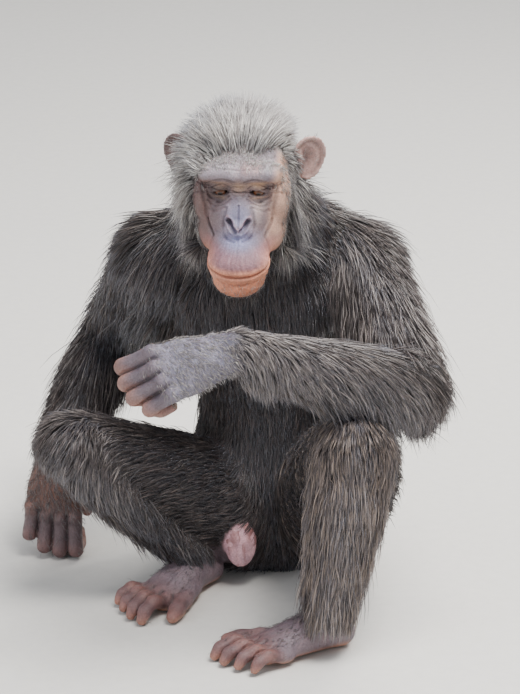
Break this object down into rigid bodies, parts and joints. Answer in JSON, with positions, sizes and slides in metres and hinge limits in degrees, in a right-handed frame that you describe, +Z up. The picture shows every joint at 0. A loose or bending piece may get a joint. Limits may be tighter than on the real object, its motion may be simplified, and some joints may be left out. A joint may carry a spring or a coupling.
{
  "type": "chimpanzee",
  "caption": "Life-size chimpanzee sitting on the floor, one knee raised under the left forearm, the other leg folded flat, the right hand down beside the knee.",
  "frame": {"origin": "on the floor, inside the flat of the rump that the animal sits on", "axes": "+Z up, -Y the way that the animal faces, +X to the animal's own left"},
  "size_m": [0.6234, 0.694, 0.7489],
  "materials": {
    "coat": "long coarse hair, brown-black with grey on the crown, cheeks, forearms and shins",
    "face": "bare wrinkled skin, grey-brown over the nose and tan on the lips, cheeks and ears",
    "bare_skin": "bare creased skin of the hands and feet",
    "pink_skin": "bare pink skin",
    "eye": "wet, dark brown"
  },
  "bodies": {
    "root": {"head": "face", "eye_left": "eye", "eye_right": "eye", "ear_left": "face", "ear_right": "face", "neck": "coat", "chest": "coat", "abdomen": "coat", "pelvis": "coat", "rump_skin": "pink_skin", "upper_arm_left": "coat", "forearm_left": "coat", "hand_left": "bare_skin", "upper_arm_right": "coat", "forearm_right": "coat", "hand_right": "bare_skin", "thigh_left": "coat", "shin_left": "coat", "foot_left": "bare_skin", "thigh_right": "coat", "shin_right": "coat", "foot_right": "bare_skin"}
  },
  "joints": []
}
